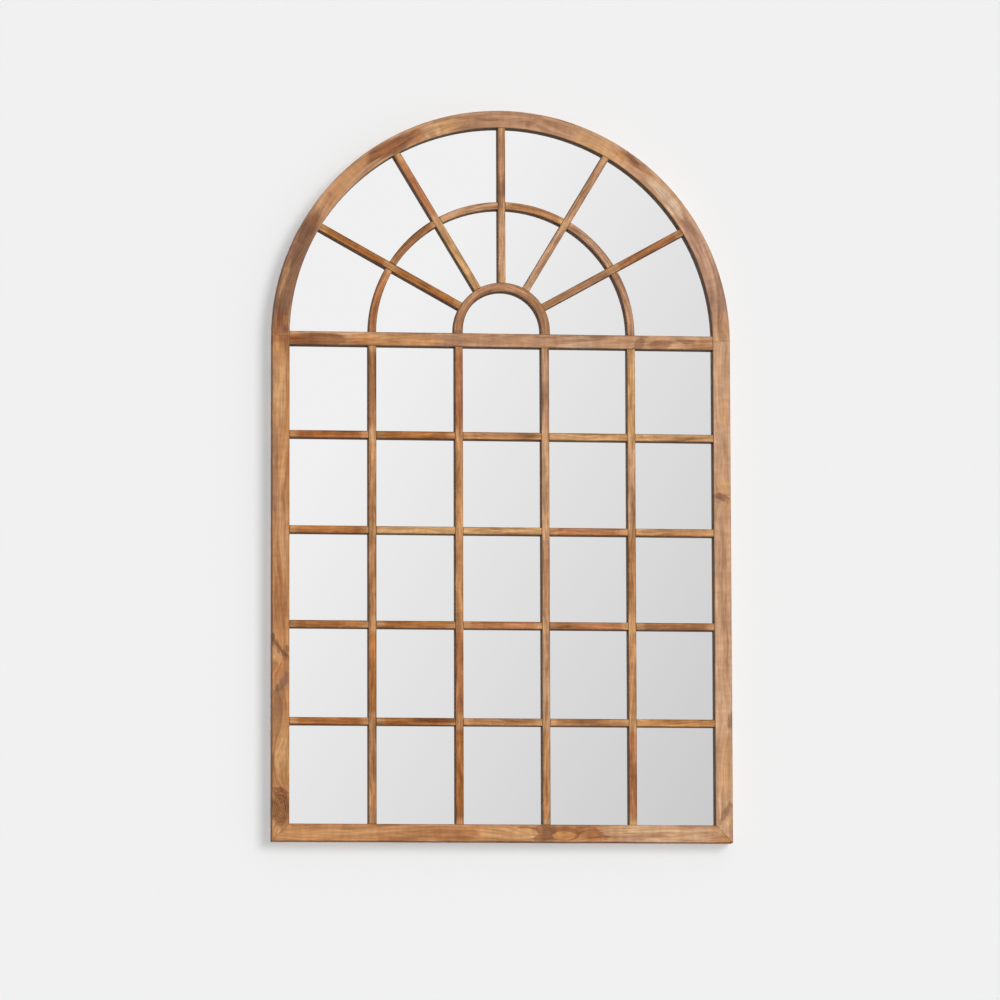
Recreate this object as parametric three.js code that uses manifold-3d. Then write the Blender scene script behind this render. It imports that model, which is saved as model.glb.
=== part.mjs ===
import * as THREE from 'three';
import { mergeVertices } from 'three/addons/utils/BufferGeometryUtils.js';
import Module from 'manifold-3d';

// Arched window mirror: a mitred and rebated hardwood frame with a half-round head, a lattice
// of glazing bars in front of one sheet of mirror, and a backing board hung on two D-rings.
// Lengths are millimetres. Inside the frame group x runs to the right, z up from the bottom
// edge, and y back from the front face.

const wasm = await Module();
wasm.setup();

// Outside of the frame
const overallHeight = 1587.5;
const overallWidth = 996.95;
const frameDepth = 31.75;
const frameFace = 37.5;
const frameArris = 1.6;
const backArris = 0.8;

// Mirror and backing board, each in its own step of the rebate
const mirrorSetback = 18.75;
const glassThickness = 4;
const glassLap = 6;
const boardThickness = 5;
const boardLap = 12;
const edgeClearance = 0.8;

// Gap of a glued wood joint, and of metal or rubber seated on a face
const fitGap = 0.3;
const seatGap = 0.1;

// Head of the frame: five sawn segments, tenoned end to end
const archSegmentCount = 5;
const archTenonLength = 14;
const archTenonWidth = 15;
const archTenonThickness = 6;

// Loose splines in the two lower mitres
const splineLength = 24;
const splineWidth = 16;
const splineThickness = 5;

// Transom
const transomFace = 29.5;
const transomAboveSpring = 10.45;
const transomSetback = 0.5;
const transomTenonWidth = 12;

// Glazing bars: the uprights run through and are a little wider than the rest
const uprightFace = 17;
const barFace = 16;
const barSetback = 1.5;
const barArris = 1.1;
const barTenonLength = 5.5;
const barTenonWidth = 8;
const barTenonThickness = 7;
const columnCount = 5;
const paneHeightShares = [0.2191, 0.199, 0.1943, 0.1963, 0.1913];

// Fanlight, measured from the top of the transom
const hubFace = 19.5;
const hubLegHeight = 7;
const hubLegOffset = 1;
const middleArcSink = 1.8;
const spokeCentreRise = 9.5;
const spokeAngles = [29, 59, 90, 121, 151].map(THREE.MathUtils.degToRad);

// D-ring hangers on the backs of the stiles, measured down from the spring of the arch
const hangerDrop = 79.025;
const hangerInset = 12.5;
const strapWidth = 14;
const strapLength = 40;
const strapThickness = 1.2;
const strapCorner = 4;
const ringWire = 3;
const ringHalfWidth = 10.5;
const ringReach = 20;
const ringCorner = 3;
const eyeClearance = 0.3;
const screwDrops = [14, 31];
const screwShank = 3.5;
const screwLength = 20;
const screwTip = 5;
const screwHead = 7;
const screwHeadHeight = 2.3;
const screwHeadEdge = 0.7;
const recessSpan = 4;
const recessWidth = 0.9;
const recessDepth = 1.1;

// Rubber pads that keep the lower edge off the wall
const bumperHeight = 6;
const bumperRadius = 8;
const bumperEdge = 1.5;
const bumperRise = 62;

// Overrun of every cut past the face that it opens
const overrun = 4;

// Facets
const archFacets = 144;
const middleArcFacets = 120;
const hubFacets = 72;
const arrisFacets = 3;
const eyeFacets = 20;
const screwFacets = 16;
const bumperFacets = 24;
const ringSteps = 44;
const ringSides = 8;

// Sizes that follow from the ones above
const halfWidth = overallWidth / 2;
const archInner = halfWidth - frameFace;
const springHeight = overallHeight - halfWidth;
const glassEdge = frameFace - glassLap - edgeClearance;
const boardEdge = frameFace - boardLap - edgeClearance;
const glassShoulder = mirrorSetback - fitGap;
const boardShoulder = mirrorSetback + glassThickness;
const boardFront = boardShoulder + fitGap;
const barDepth = mirrorSetback - barSetback - fitGap;
const transomDepth = mirrorSetback - transomSetback - fitGap;
const tenonDepth = barSetback + barDepth / 2;
const transomTop = springHeight + transomAboveSpring;
const transomBottom = transomTop - transomFace;
const barPitch = (2 * archInner + uprightFace) / columnCount;
const paneWidth = barPitch - uprightFace;
const uprightPlaces = placesAcross(columnCount - 1);
const rowHeights = rowCentres();
const hubRadius = barPitch / 2 + hubLegOffset;
const hubOuter = hubRadius + hubFace / 2;
const middleRadius = uprightPlaces.at(-1);
const eyeInner = ringWire / 2 + eyeClearance;
const pivotOffset = eyeInner + strapThickness;
const strapStack = 2 * strapThickness;
const hangerHeight = springHeight - hangerDrop;
const ringLean = Math.asin((pivotOffset - ringWire / 2 - fitGap) / ringReach);
const hookHeight = hangerHeight + ringReach * Math.cos(ringLean) - ringWire / 2;
const screwHole = screwShank / 2 + fitGap;

// Places of a number of pieces, one bar pitch apart, about the middle of the frame
function placesAcross(count) {
  return Array.from({ length: count }, (_, index) => (index - (count - 1) / 2) * barPitch);
}

// Centre heights of the rows of cross bars: the panes share what the bars leave
function rowCentres() {
  const clearHeight = transomBottom - frameFace - (paneHeightShares.length - 1) * barFace;
  const centres = [];
  let height = frameFace;
  for (const share of paneHeightShares.slice(0, -1)) {
    height += share * clearHeight;
    centres.push(height + barFace / 2);
    height += barFace;
  }
  return centres;
}

// A closed geometry as a solid that can be cut and joined
function solidOf(geometry) {
  const plain = geometry.clone();
  plain.deleteAttribute('normal');
  plain.deleteAttribute('uv');
  const merged = mergeVertices(plain);
  return new wasm.Manifold(new wasm.Mesh({
    numProp: 3,
    vertProperties: new Float32Array(merged.attributes.position.array),
    triVerts: new Uint32Array(merged.index.array),
  }));
}

function geometryOf(solid) {
  const { vertProperties, triVerts } = solid.getMesh();
  const geometry = new THREE.BufferGeometry();
  geometry.setAttribute('position', new THREE.BufferAttribute(vertProperties, 3));
  geometry.setIndex(new THREE.BufferAttribute(triVerts, 1));
  geometry.computeVertexNormals();
  return geometry;
}

// Section of the frame: u inward from the outer edge, v back from the face.
// side is 1 where u runs along +x and -1 where it runs along -x.
function frameSection(side) {
  const shape = new THREE.Shape();
  shape.moveTo(0, frameArris);
  shape.quadraticCurveTo(0, 0, side * frameArris, 0);
  shape.lineTo(side * (frameFace - frameArris), 0);
  shape.quadraticCurveTo(side * frameFace, 0, side * frameFace, frameArris);
  shape.lineTo(side * frameFace, glassShoulder);
  shape.lineTo(side * glassEdge, glassShoulder);
  shape.lineTo(side * glassEdge, boardShoulder);
  shape.lineTo(side * boardEdge, boardShoulder);
  shape.lineTo(side * boardEdge, frameDepth);
  shape.lineTo(side * backArris, frameDepth);
  shape.lineTo(0, frameDepth - backArris);
  return shape;
}

// Section of a bar, centred across its face, with its front face at v = 0
function barSection(face, depth) {
  const half = face / 2;
  const shape = new THREE.Shape();
  shape.moveTo(-half, barArris);
  shape.quadraticCurveTo(-half, 0, barArris - half, 0);
  shape.lineTo(half - barArris, 0);
  shape.quadraticCurveTo(half, 0, half, barArris);
  shape.lineTo(half, depth);
  shape.lineTo(-half, depth);
  return shape;
}

// A section run upward, along +z
function runUp(section, length) {
  const options = { depth: length, bevelEnabled: false, curveSegments: arrisFacets };
  return new THREE.ExtrudeGeometry(section, options);
}

// A section turned about the y axis into a full ring, from points in radius and depth
function ringOf(profile, facets) {
  return solidOf(new THREE.LatheGeometry([...profile, profile[0].clone()], facets));
}

// A flat outline in x and z, as a prism from one depth to another
function prism(shape, from, to, facets = arrisFacets) {
  const options = { depth: to - from, bevelEnabled: false, curveSegments: facets };
  return new THREE.ExtrudeGeometry(shape, options).rotateX(Math.PI / 2).translate(0, to, 0);
}

function polygon(corners) {
  return new THREE.Shape(corners.map(([x, z]) => new THREE.Vector2(x, z)));
}

// The space between two directions seen from a centre, deep enough to cut any piece
function wedge(from, to, centreHeight) {
  const far = 2 * overallWidth;
  const middle = (from + to) / 2;
  const corners = [from, middle, to].map((angle) => [
    far * Math.cos(angle),
    centreHeight + far * Math.sin(angle),
  ]);
  return solidOf(prism(polygon([[0, centreHeight], ...corners]), -overrun, frameDepth + overrun));
}

// A block that lies along x from one place to another, centred on z, around a given depth
function tenon(from, to, width, thickness, depth) {
  const box = new THREE.BoxGeometry(to - from, thickness, width);
  return box.translate((from + to) / 2, depth, 0);
}

// The same block, wider all round by the fit gap and run past its mouth
function mortise(mouth, bottom, width, thickness, depth) {
  const way = Math.sign(bottom - mouth);
  const ends = [mouth - way * overrun, bottom + way * fitGap].sort((a, b) => a - b);
  return tenon(...ends, width + 2 * fitGap, thickness + 2 * fitGap, depth);
}

// A cylinder along y
function disc(radius, from, to, facets) {
  return new THREE.CylinderGeometry(radius, radius, to - from, facets).translate(0, (from + to) / 2, 0);
}

function barTenon(from, to) {
  return tenon(from, to, barTenonWidth, barTenonThickness, tenonDepth);
}

function barMortise(mouth, bottom) {
  return mortise(mouth, bottom, barTenonWidth, barTenonThickness, tenonDepth);
}

// A geometry that lies along +x, stood up along +z
function upright(geometry) {
  return geometry.rotateY(-Math.PI / 2);
}

function cutAll(solid, geometries) {
  return geometries.reduce((rest, geometry) => rest.subtract(solidOf(geometry)), solid);
}

function joinAll(solid, geometries) {
  return geometries.reduce((whole, geometry) => whole.add(solidOf(geometry)), solid);
}

// Spline, or its slot, across a mitre that runs inward at 45 degrees from the corner
function mitreKey(side, clearance) {
  const box = new THREE.BoxGeometry(
    splineLength + 2 * clearance,
    splineThickness + 2 * clearance,
    splineWidth + 2 * clearance,
  );
  box.rotateY(-side * Math.PI / 4);
  return box.translate(side * frameFace / 2, mirrorSetback / 2, frameFace / 2);
}

// Stile, from its outer lower corner: mitred below, tenoned into the arch above
function stile(side) {
  const gapHeight = fitGap / Math.SQRT2;
  const past = frameFace + overrun;
  const belowMitre = polygon([
    [-side * overrun, gapHeight - overrun],
    [side * past, past + gapHeight],
    [side * past, -past],
    [-side * overrun, -past],
  ]);
  const archTenon = tenon(-overrun, archTenonLength, archTenonWidth, archTenonThickness, mirrorSetback / 2);
  const body = solidOf(runUp(frameSection(side), springHeight - fitGap / 2));
  const joined = joinAll(body, [upright(archTenon).translate(side * frameFace / 2, 0, springHeight)]);
  const rowMortises = rowHeights.map((height) => {
    const cut = barMortise(side * frameFace, side * (frameFace - barTenonLength));
    return cut.translate(0, 0, height);
  });
  const transomMortise = mortise(
    side * frameFace,
    side * (frameFace - barTenonLength),
    transomTenonWidth,
    barTenonThickness,
    tenonDepth,
  ).translate(0, 0, transomTenonHeight());
  const holeBottom = frameDepth + strapStack - screwLength - fitGap;
  const pilotHoles = screwDrops.map((drop) => {
    const hole = disc(screwHole, holeBottom, frameDepth + overrun, screwFacets);
    return hole.translate(side * hangerInset, 0, hangerHeight - drop);
  });
  return cutAll(joined, [
    prism(belowMitre, -overrun, frameDepth + overrun),
    mitreKey(side, fitGap),
    ...rowMortises,
    transomMortise,
    ...pilotHoles,
  ]);
}

// Height of the transom's tenons, midway in the part of the transom that the stiles carry
function transomTenonHeight() {
  return (transomBottom + springHeight - fitGap) / 2;
}

// Bottom rail, from the middle of its lower edge
function bottomRail() {
  const rail = solidOf(runUp(frameSection(1), overallWidth).rotateY(-Math.PI / 2).translate(halfWidth, 0, 0));
  const gapHeight = fitGap / Math.SQRT2;
  const past = frameFace + overrun;
  const cuts = [];
  for (const side of [1, -1]) {
    const beyondMitre = polygon([
      [-side * past, -overrun - gapHeight],
      [-side * overrun, -overrun - gapHeight],
      [side * past, past - gapHeight],
      [side * past, 2 * past],
      [-side * past, 2 * past],
    ]);
    cuts.push(prism(beyondMitre, -overrun, frameDepth + overrun).translate(-side * halfWidth, 0, 0));
    cuts.push(mitreKey(side, fitGap).translate(-side * halfWidth, 0, 0));
  }
  for (const place of uprightPlaces) {
    cuts.push(upright(barMortise(frameFace, frameFace - barTenonLength)).translate(place, 0, 0));
  }
  return cutAll(rail, cuts);
}

// Segment of the arch, around the arch's centre. Its end nearer the crown carries the tenon.
function archSegment(index, ring) {
  const step = Math.PI / archSegmentCount;
  const halfGap = fitGap / 2 / (halfWidth - frameFace / 2);
  let solid = ring.intersect(wedge(index * step + halfGap, (index + 1) * step - halfGap, 0));
  for (const seam of [index, index + 1]) {
    const toCrown = seam * 2 <= archSegmentCount ? 1 : -1;
    const outward = seam === index ? -1 : 1;
    const base = outward === toCrown ? 'tenon' : 'mortise';
    const block = base === 'tenon'
      ? tenon(-overrun, archTenonLength, archTenonWidth, archTenonThickness, mirrorSetback / 2)
      : mortise(0, archTenonLength, archTenonWidth, archTenonThickness, mirrorSetback / 2);
    if (toCrown > 0) block.rotateY(-Math.PI / 2);
    else block.rotateY(Math.PI / 2);
    block.translate(halfWidth - frameFace / 2, 0, 0).rotateY(-seam * step);
    solid = base === 'tenon' ? solid.add(solidOf(block)) : solid.subtract(solidOf(block));
  }
  const spokeCuts = spokeAngles.map((angle) => {
    const mouth = spokeReach(angle, archInner, -transomAboveSpring);
    const cut = barMortise(mouth, mouth + barTenonLength).rotateY(-angle);
    return cut.translate(0, 0, spokeCentreRise + transomAboveSpring);
  });
  return cutAll(solid, spokeCuts);
}

// How far a spoke runs from the spokes' centre to a circle about another height
function spokeReach(angle, radius, circleHeight) {
  const offset = spokeCentreRise - circleHeight;
  const along = offset * Math.sin(angle);
  return Math.sqrt(along * along - offset * offset + radius * radius) - along;
}

// Transom, from the middle of its top edge
function transom() {
  const halfLength = Math.sqrt(archInner ** 2 - transomAboveSpring ** 2) - fitGap;
  const section = barSection(transomFace, transomDepth);
  const beam = solidOf(runUp(section, 2 * halfLength).rotateY(Math.PI / 2)
    .translate(-halfLength, transomSetback, -transomFace / 2));
  const tenonDrop = transomTenonHeight() - transomTop;
  const ends = [-1, 1].map((side) => {
    const places = [side * (halfLength - overrun), side * (archInner + barTenonLength)];
    const end = tenon(...places.sort((a, b) => a - b), transomTenonWidth, barTenonThickness, tenonDepth);
    return end.translate(0, 0, tenonDrop);
  });
  const fromBelow = uprightPlaces.map((place) => (
    upright(barMortise(-transomFace, barTenonLength - transomFace)).translate(place, 0, 0)
  ));
  const legPlaces = [-middleRadius, -hubRadius, hubRadius, middleRadius];
  const fromAbove = legPlaces.map((place) => (
    upright(barMortise(0, -barTenonLength)).translate(place, 0, 0)
  ));
  return cutAll(joinAll(beam, ends), [...fromBelow, ...fromAbove]);
}

// Upright bar, centred across and measured up from the bottom edge of the frame
function uprightBar() {
  const from = frameFace + fitGap;
  const to = transomBottom - fitGap;
  const bar = solidOf(runUp(barSection(uprightFace, barDepth), to - from).translate(0, barSetback, from));
  const ends = [
    upright(barTenon(frameFace - barTenonLength, from + overrun)),
    upright(barTenon(to - overrun, transomBottom + barTenonLength)),
  ];
  const cuts = [];
  for (const height of rowHeights) {
    for (const side of [-1, 1]) {
      const mouth = side * uprightFace / 2;
      cuts.push(barMortise(mouth, mouth - side * barTenonLength).translate(0, 0, height));
    }
  }
  return cutAll(joinAll(bar, ends), cuts);
}

// Cross bar between two uprights, about its own middle
function crossBar() {
  const halfLength = paneWidth / 2 - fitGap;
  const section = barSection(barFace, barDepth);
  const bar = solidOf(runUp(section, 2 * halfLength).rotateY(Math.PI / 2)
    .translate(-halfLength, barSetback, 0));
  const reach = paneWidth / 2 + barTenonLength;
  return joinAll(bar, [barTenon(-reach, reach)]);
}

// Ring of a curved bar in the fanlight, about its own centre
function curvedBar(radius, face, facets) {
  const points = barSection(face, barDepth).getPoints(arrisFacets);
  return ringOf(points.map((point) => new THREE.Vector2(radius + point.x, barSetback + point.y)), facets);
}

// Hub arc on its two short legs, from the top of the transom
function hubArc() {
  const ring = curvedBar(hubRadius, hubFace, hubFacets).translate([0, 0, hubLegHeight]);
  let solid = ring.intersect(wedge(0, Math.PI, hubLegHeight));
  for (const side of [-1, 1]) {
    const leg = runUp(barSection(hubFace, barDepth), hubLegHeight + seatGap - fitGap);
    const foot = upright(barTenon(-barTenonLength, fitGap + hubLegHeight / 2));
    solid = joinAll(solid, [
      leg.translate(side * hubRadius, barSetback, fitGap),
      foot.translate(side * hubRadius, 0, 0),
    ]);
  }
  const spokeCuts = spokeAngles.map((angle) => {
    const mouth = spokeReach(angle, hubOuter, hubLegHeight);
    return barMortise(mouth, mouth - barTenonLength).rotateY(-angle).translate(0, 0, spokeCentreRise);
  });
  return cutAll(solid, spokeCuts);
}

// Spoke along +x from the spokes' centre, coped to the hub arc and to the arch
function spoke(angle) {
  const mouthIn = spokeReach(angle, hubOuter, hubLegHeight);
  const mouthOut = spokeReach(angle, archInner, -transomAboveSpring);
  const run = mouthOut - mouthIn + 2 * overrun;
  const bar = solidOf(runUp(barSection(barFace, barDepth), run).rotateY(Math.PI / 2)
    .translate(mouthIn - overrun, barSetback, 0));
  const hubCope = disc(hubOuter + fitGap, -overrun, frameDepth, hubFacets)
    .translate(0, 0, hubLegHeight - spokeCentreRise).rotateY(angle);
  const archCope = disc(archInner - fitGap, -overrun, frameDepth, archFacets)
    .translate(0, 0, -transomAboveSpring - spokeCentreRise).rotateY(angle);
  const coped = bar.intersect(solidOf(archCope)).subtract(solidOf(hubCope));
  const joined = joinAll(coped, [barTenon(mouthIn - barTenonLength, mouthOut + barTenonLength)]);
  const crossing = spokeReach(angle, middleRadius, -middleArcSink);
  const cuts = [-1, 1].map((side) => (
    upright(barMortise(side * barFace / 2, side * (barFace / 2 - barTenonLength))).translate(crossing, 0, 0)
  ));
  return cutAll(joined, cuts);
}

// Piece of the middle arc between two spokes, or between a spoke and the transom
function middleArc(index, ring) {
  const before = spokeAngles[index - 1];
  const after = spokeAngles[index];
  const lowest = -Math.PI / 6;
  const sector = wedge(before ?? lowest, after ?? Math.PI - lowest, spokeCentreRise);
  let solid = ring.intersect(sector);
  for (const [angle, side] of [[before, 1], [after, -1]]) {
    if (angle === undefined) continue;
    const room = tenon(0, 2 * middleRadius, barFace + 2 * fitGap, frameDepth + 2 * overrun, frameDepth / 2);
    solid = solid.subtract(solidOf(room.rotateY(-angle).translate(0, 0, spokeCentreRise)));
    const crossing = spokeReach(angle, middleRadius, -middleArcSink);
    const places = [side * (barFace / 2 - barTenonLength), side * (barFace / 2 + overrun)];
    const end = upright(barTenon(...places.sort((a, b) => a - b))).translate(crossing, 0, 0);
    solid = solid.add(solidOf(end.rotateY(-angle).translate(0, 0, spokeCentreRise)));
  }
  if (before === undefined || after === undefined) {
    const side = before === undefined ? 1 : -1;
    const above = new THREE.BoxGeometry(2 * overallWidth, 2 * frameDepth, overallWidth);
    const foot = upright(barTenon(-barTenonLength, fitGap + overrun)).translate(side * middleRadius, 0, 0);
    solid = solid.intersect(solidOf(above.translate(0, 0, overallWidth / 2 + fitGap))).add(solidOf(foot));
  }
  return solid;
}

// Arched sheet behind the frame, lapping over the opening by a given width
function archedSheet(lap, from, to) {
  const half = archInner + lap;
  const outline = new THREE.Shape();
  outline.moveTo(-half, frameFace - lap);
  outline.lineTo(half, frameFace - lap);
  outline.lineTo(half, springHeight);
  outline.absarc(0, springHeight, half, 0, Math.PI, false);
  return solidOf(prism(outline, from, to, archFacets / 2));
}

// Strap folded round the straight side of the ring, from the ring's axis
function hangerStrap() {
  const side = new THREE.Shape();
  const topEdge = strapStack - pivotOffset;
  side.moveTo(seatGap - pivotOffset, -strapLength);
  side.lineTo(seatGap - pivotOffset, 0);
  side.absarc(0, 0, pivotOffset - seatGap, Math.PI, -Math.acos(topEdge / (pivotOffset - seatGap)), true);
  side.lineTo(topEdge, -strapLength);
  side.holes.push(new THREE.Path().absarc(0, 0, eyeInner, 0, 2 * Math.PI, false));
  const options = { depth: strapWidth, bevelEnabled: false, curveSegments: eyeFacets };
  const turn = new THREE.Matrix4().makeBasis(
    new THREE.Vector3(0, 1, 0),
    new THREE.Vector3(0, 0, 1),
    new THREE.Vector3(1, 0, 0),
  );
  const folded = new THREE.ExtrudeGeometry(side, options).applyMatrix4(turn).translate(-strapWidth / 2, 0, 0);
  const half = strapWidth / 2;
  const plan = new THREE.Shape();
  plan.moveTo(-half, pivotOffset + overrun);
  plan.lineTo(-half, strapCorner - strapLength);
  plan.quadraticCurveTo(-half, -strapLength, strapCorner - half, -strapLength);
  plan.lineTo(half - strapCorner, -strapLength);
  plan.quadraticCurveTo(half, -strapLength, half, strapCorner - strapLength);
  plan.lineTo(half, pivotOffset + overrun);
  const blank = solidOf(folded).intersect(solidOf(prism(plan, -frameDepth, frameDepth)));
  return cutAll(blank, screwDrops.map((drop) => (
    disc(screwHole, -pivotOffset - overrun, pivotOffset + overrun, screwFacets).translate(0, 0, -drop)
  )));
}

// D-ring, standing up from its axis
function hangerRing() {
  const inset = ringHalfWidth - ringCorner;
  const shoulder = ringReach - ringHalfWidth;
  const outline = new THREE.Path();
  outline.moveTo(-inset, 0);
  outline.lineTo(inset, 0);
  outline.absarc(inset, ringCorner, ringCorner, -Math.PI / 2, 0, false);
  outline.lineTo(ringHalfWidth, shoulder);
  outline.absarc(0, shoulder, ringHalfWidth, 0, Math.PI, false);
  outline.lineTo(-ringHalfWidth, ringCorner);
  outline.absarc(-inset, ringCorner, ringCorner, Math.PI, 1.5 * Math.PI, false);
  const places = outline.getSpacedPoints(ringSteps).slice(0, -1);
  const knots = places.map((place) => new THREE.Vector3(place.x, 0, place.y));
  const path = new THREE.CatmullRomCurve3(knots, true);
  return solidOf(new THREE.TubeGeometry(path, ringSteps, ringWire / 2, ringSides, true));
}

// Pan-head screw along y, its head seated at y = 0 and pointing back
function hangerScrew() {
  const shank = screwShank / 2;
  const head = screwHead / 2;
  const profile = new THREE.Path();
  profile.moveTo(0, -screwLength);
  profile.lineTo(shank, screwTip - screwLength);
  profile.lineTo(shank, 0);
  profile.lineTo(head, 0);
  profile.lineTo(head, screwHeadEdge);
  profile.quadraticCurveTo(head, screwHeadHeight, 0, screwHeadHeight);
  const body = solidOf(new THREE.LatheGeometry(profile.getPoints(arrisFacets), screwFacets));
  const recess = (x, z) => (
    new THREE.BoxGeometry(x, 2 * recessDepth, z).translate(0, screwHeadHeight, 0)
  );
  return cutAll(body, [recess(recessSpan, recessWidth), recess(recessWidth, recessSpan)]);
}

function wallBumper() {
  const profile = new THREE.Path();
  profile.moveTo(0, seatGap);
  profile.lineTo(bumperRadius, seatGap);
  profile.lineTo(bumperRadius, bumperHeight - bumperEdge);
  profile.quadraticCurveTo(bumperRadius, bumperHeight, bumperRadius - bumperEdge, bumperHeight);
  profile.lineTo(0, bumperHeight);
  return solidOf(new THREE.LatheGeometry(profile.getPoints(arrisFacets), bumperFacets));
}

// Finishes: oiled hardwood in the tones of its boards, silvered glass, board, steel, rubber
const woodTones = { golden: 0xc9986c, russet: 0xad703d, walnut: 0x8f6c57, tan: 0xb78e66 };
const barTones = ['russet', 'golden', 'tan', 'russet', 'walnut', 'golden', 'russet'];

function wood(tone) {
  return new THREE.MeshStandardMaterial({ color: woodTones[tone], roughness: 0.55, metalness: 0 });
}

function silvered() {
  return new THREE.MeshStandardMaterial({ color: 0xe6e6e8, roughness: 0.03, metalness: 1 });
}

function fibreboard() {
  return new THREE.MeshStandardMaterial({ color: 0x8a6a4a, roughness: 0.85, metalness: 0 });
}

function steel() {
  return new THREE.MeshStandardMaterial({ color: 0xb9bcc0, roughness: 0.35, metalness: 1 });
}

function rubber() {
  return new THREE.MeshStandardMaterial({ color: 0x2b2b2d, roughness: 0.9, metalness: 0 });
}

function piece(parent, name, geometry, material, place = [0, 0, 0]) {
  const mesh = new THREE.Mesh(geometry, material);
  mesh.name = name;
  mesh.position.set(...place);
  parent.add(mesh);
  return mesh;
}

function addFrameMembers(frame) {
  piece(frame, 'stile_left', geometryOf(stile(1)), wood('golden'), [-halfWidth, 0, 0]);
  piece(frame, 'stile_right', geometryOf(stile(-1)), wood('tan'), [halfWidth, 0, 0]);
  piece(frame, 'bottom_rail', geometryOf(bottomRail()), wood('russet'));
  for (const [name, side] of [['left', 1], ['right', -1]]) {
    piece(frame, `mitre_spline_${name}`, mitreKey(side, 0), wood('tan'), [-side * halfWidth, 0, 0]);
  }
  const arch = new THREE.Group();
  arch.position.z = springHeight;
  const section = frameSection(1).getPoints(arrisFacets).reverse();
  const profile = section.map((point) => new THREE.Vector2(halfWidth - point.x, point.y));
  const ring = ringOf(profile, archFacets);
  const archTones = ['tan', 'golden', 'walnut', 'golden', 'walnut'];
  for (let index = 0; index < archSegmentCount; index += 1) {
    const tone = archTones[index % archTones.length];
    piece(arch, `arch_segment_${index + 1}`, geometryOf(archSegment(index, ring)), wood(tone));
  }
  frame.add(arch);
}

function addLattice(frame) {
  piece(frame, 'transom', geometryOf(transom()), wood('russet'), [0, 0, transomTop]);
  const uprightShape = geometryOf(uprightBar());
  uprightPlaces.forEach((place, index) => {
    const tone = barTones[index % barTones.length];
    piece(frame, `upright_bar_${index + 1}`, uprightShape, wood(tone), [place, 0, 0]);
  });
  const crossShape = geometryOf(crossBar());
  rowHeights.forEach((height, row) => {
    placesAcross(columnCount).forEach((place, column) => {
      const tone = barTones[(3 * row + 2 * column) % barTones.length];
      piece(frame, `cross_bar_${row + 1}_${column + 1}`, crossShape, wood(tone), [place, 0, height]);
    });
  });
}

function addFanlight(frame) {
  const fanlight = new THREE.Group();
  fanlight.position.z = transomTop;
  piece(fanlight, 'hub_arc', geometryOf(hubArc()), wood('golden'));
  spokeAngles.forEach((angle, index) => {
    const tone = barTones[index % barTones.length];
    const place = [0, 0, spokeCentreRise];
    const mesh = piece(fanlight, `spoke_${index + 1}`, geometryOf(spoke(angle)), wood(tone), place);
    mesh.rotation.y = -angle;
  });
  const ring = curvedBar(middleRadius, barFace, middleArcFacets).translate([0, 0, -middleArcSink]);
  for (let index = 0; index <= spokeAngles.length; index += 1) {
    const tone = barTones[(index + 2) % barTones.length];
    piece(fanlight, `middle_arc_${index + 1}`, geometryOf(middleArc(index, ring)), wood(tone));
  }
  frame.add(fanlight);
}

function addBack(frame) {
  const glass = archedSheet(glassLap, mirrorSetback, mirrorSetback + glassThickness);
  const board = archedSheet(boardLap, boardFront, boardFront + boardThickness);
  piece(frame, 'mirror_glass', geometryOf(glass), silvered());
  piece(frame, 'back_board', geometryOf(board), fibreboard());
}

function addHardware(frame) {
  const strapShape = geometryOf(hangerStrap());
  const ringShape = geometryOf(hangerRing());
  const screwShape = geometryOf(hangerScrew());
  const bumperShape = geometryOf(wallBumper());
  for (const [name, side] of [['left', -1], ['right', 1]]) {
    const hanger = new THREE.Group();
    hanger.position.set(side * (halfWidth - hangerInset), frameDepth + pivotOffset, hangerHeight);
    piece(hanger, `hanger_strap_${name}`, strapShape, steel());
    piece(hanger, `hanger_ring_${name}`, ringShape, steel()).rotation.x = ringLean;
    ['upper', 'lower'].forEach((level, index) => {
      const seat = [0, strapStack - pivotOffset + seatGap, -screwDrops[index]];
      piece(hanger, `hanger_screw_${name}_${level}`, screwShape, steel(), seat);
    });
    frame.add(hanger);
    const lipCentre = halfWidth - boardEdge / 2;
    piece(frame, `wall_bumper_${name}`, bumperShape, rubber(), [side * lipCentre, frameDepth, bumperRise]);
  }
}

// The part's origin lies on the wall, midway between the two hooks that carry the rings
function buildMirror() {
  const part = new THREE.Group();
  const frame = new THREE.Group();
  frame.position.set(0, -frameDepth - bumperHeight, -hookHeight);
  addFrameMembers(frame);
  addLattice(frame);
  addFanlight(frame);
  addBack(frame);
  addHardware(frame);
  part.add(frame);
  return part;
}

export default buildMirror();
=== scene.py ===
from math import asin, atan2, cos, hypot, pi, radians, sin, sqrt

import bmesh
import bpy
from mathutils import Matrix, Vector


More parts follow.
